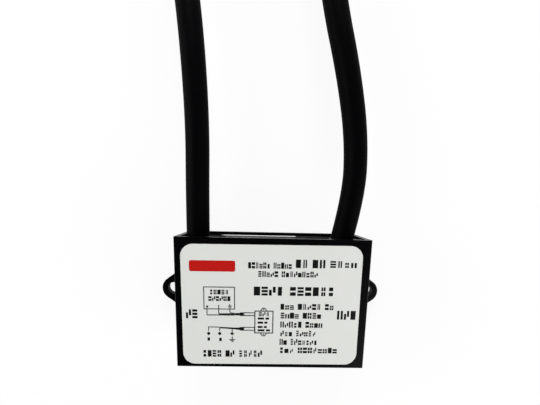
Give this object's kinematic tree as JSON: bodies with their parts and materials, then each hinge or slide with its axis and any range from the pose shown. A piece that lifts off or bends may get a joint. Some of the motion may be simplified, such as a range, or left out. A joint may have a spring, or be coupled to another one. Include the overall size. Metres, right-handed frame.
{
  "type": "surge protective device",
  "caption": "Small potted surge protection module with two screw ears, a pale label and an input and an output lead that leave one open side.",
  "frame": {"origin": "middle of the back mounting face, midway between the two ear holes", "axes": "+X along the two ear holes, +Y to the open side that the leads leave, +Z to the labelled front"},
  "size_m": [0.0838, 0.239, 0.0222],
  "materials": {
    "case_plastic": "black moulded flame-retardant plastic, satin",
    "potting_resin": "black cast resin, glossy",
    "label_film": "pale silver-grey printed polyester film, satin",
    "board_laminate": "glass-epoxy board with green solder resist",
    "varistor_coating": "blue epoxy coating",
    "cutoff_case": "ivory moulded case",
    "tube_ceramic": "white alumina",
    "tube_electrode": "nickel-plated electrode",
    "copper": "stripped copper strands",
    "solder": "bright solder",
    "sheath_rubber": "black rubber sheath, matt",
    "brown_insulation": "brown core insulation",
    "blue_insulation": "blue core insulation",
    "earth_insulation": "green and yellow core insulation",
    "tinned_copper": "tinned copper strands"
  },
  "bodies": {
    "root": {"case": "case_plastic", "potting_compound": "potting_resin", "label": "label_film", "circuit_board": "board_laminate", "line_varistor": "varistor_coating", "neutral_varistor": "varistor_coating", "line_thermal_cutoff": "cutoff_case", "neutral_thermal_cutoff": "cutoff_case", "gas_tube_ceramic": "tube_ceramic", "gas_tube_left_electrode": "tube_electrode", "gas_tube_right_electrode": "tube_electrode", "board_conductors": "copper", "solder_joints": "solder", "input_cable": "sheath_rubber", "output_cable": "sheath_rubber", "input_line_inner_core": "brown_insulation", "input_line_core": "brown_insulation", "input_line_tip": "tinned_copper", "input_neutral_inner_core": "blue_insulation", "input_neutral_core": "blue_insulation", "input_neutral_tip": "tinned_copper", "input_earth_inner_core": "earth_insulation", "input_earth_core": "earth_insulation", "input_earth_tip": "tinned_copper", "output_line_inner_core": "brown_insulation", "output_line_core": "brown_insulation", "output_line_tip": "tinned_copper", "output_neutral_inner_core": "blue_insulation", "output_neutral_core": "blue_insulation", "output_neutral_tip": "tinned_copper", "output_earth_inner_core": "earth_insulation", "output_earth_core": "earth_insulation", "output_earth_tip": "tinned_copper"}
  },
  "joints": []
}
